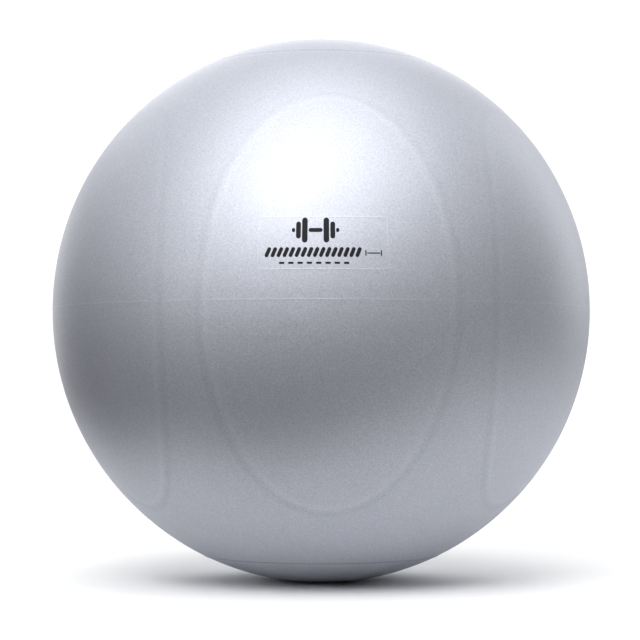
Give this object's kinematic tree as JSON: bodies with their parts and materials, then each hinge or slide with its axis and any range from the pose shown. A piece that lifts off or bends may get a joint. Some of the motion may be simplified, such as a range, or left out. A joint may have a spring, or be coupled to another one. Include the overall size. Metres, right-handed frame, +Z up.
{
  "type": "exercise ball",
  "caption": "Inflated vinyl exercise ball with moulded oval panels, a bonded valve seat and a pull-out stopper.",
  "frame": {"origin": "on the floor, under the middle of the ball", "axes": "+Z up the ball's axis and out through the valve; the printed side faces -Y"},
  "size_m": [0.7432, 0.7432, 0.7515],
  "materials": {
    "skin": "silver-grey moulded vinyl with a fine grain and a soft sheen",
    "valve_seat": "thick moulded vinyl, smooth and satin",
    "valve_plug": "pale grey moulded polyethylene, smooth and satin",
    "print_ink": null
  },
  "bodies": {
    "ball": {"ball_shell": "skin", "valve_seat": "valve_seat"},
    "plug": {"valve_plug": "valve_plug"}
  },
  "joints": [
    {"name": "plug_pull", "type": "slide", "parent": "ball", "child": "plug", "axis": [0, 0, 1], "range_m": [0, 0.04]}
  ]
}
